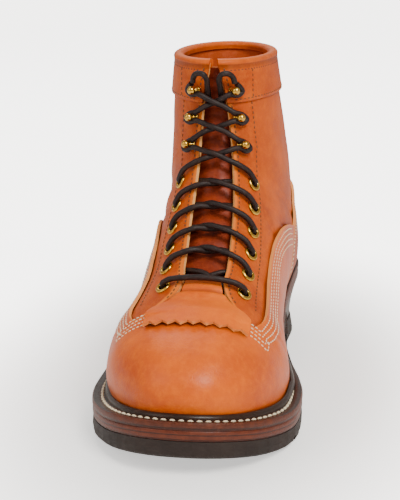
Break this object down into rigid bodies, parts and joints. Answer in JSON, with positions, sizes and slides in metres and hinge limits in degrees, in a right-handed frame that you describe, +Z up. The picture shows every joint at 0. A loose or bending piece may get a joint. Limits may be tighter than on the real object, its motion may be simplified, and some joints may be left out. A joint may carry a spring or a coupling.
{
  "type": "logger boot",
  "caption": "Ankle-high lace-up logger boot with a toothed kiltie, brass eyelets and speed hooks, storm welt, lugged half sole and a high undercut heel.",
  "frame": {"origin": "on the floor under the middle of the boot's bounding box", "axes": "+Z up, +Y towards the heel, +X towards the inner side of the foot"},
  "size_m": [0.1242, 0.304, 0.2061],
  "materials": {
    "rubber": "matte, dark brown-grey",
    "midsole": "layered edge, reddish brown",
    "welt": "waxed, dark brown",
    "heel": "burnished stack, dark brown",
    "leather": "oiled full grain, tan",
    "kiltie": "oiled full grain, bright tan",
    "lining": "smooth lining, orange-brown",
    "brass": "polished",
    "lace": "round rawhide lace, dark brown"
  },
  "bodies": {
    "root": {"outsole": "rubber", "midsole": "midsole", "welt": "welt", "insole": "lining", "heel_stack": "heel", "top_lift": "rubber", "upper": "leather", "vamp": "leather", "counter": "leather", "collar_band": "leather", "tongue": "lining", "kiltie": "kiltie", "eyelet_right_1": "brass", "eyelet_right_2": "brass", "eyelet_right_3": "brass", "eyelet_right_4": "brass", "eyelet_right_5": "brass", "eyelet_right_6": "brass", "eyelet_left_1": "brass", "eyelet_left_2": "brass", "eyelet_left_3": "brass", "eyelet_left_4": "brass", "eyelet_left_5": "brass", "eyelet_left_6": "brass", "hook_right_1": "brass", "hook_right_2": "brass", "hook_right_3": "brass", "hook_left_1": "brass", "hook_left_2": "brass", "hook_left_3": "brass", "lace_bar": "lace", "lace_crossing_1": "lace", "lace_crossing_2": "lace", "lace_crossing_3": "lace", "lace_crossing_4": "lace", "lace_crossing_5": "lace", "lace_crossing_6": "lace", "lace_crossing_7": "lace", "lace_crossing_8": "lace", "lace_end_right": "lace", "lace_end_left": "lace"}
  },
  "joints": []
}
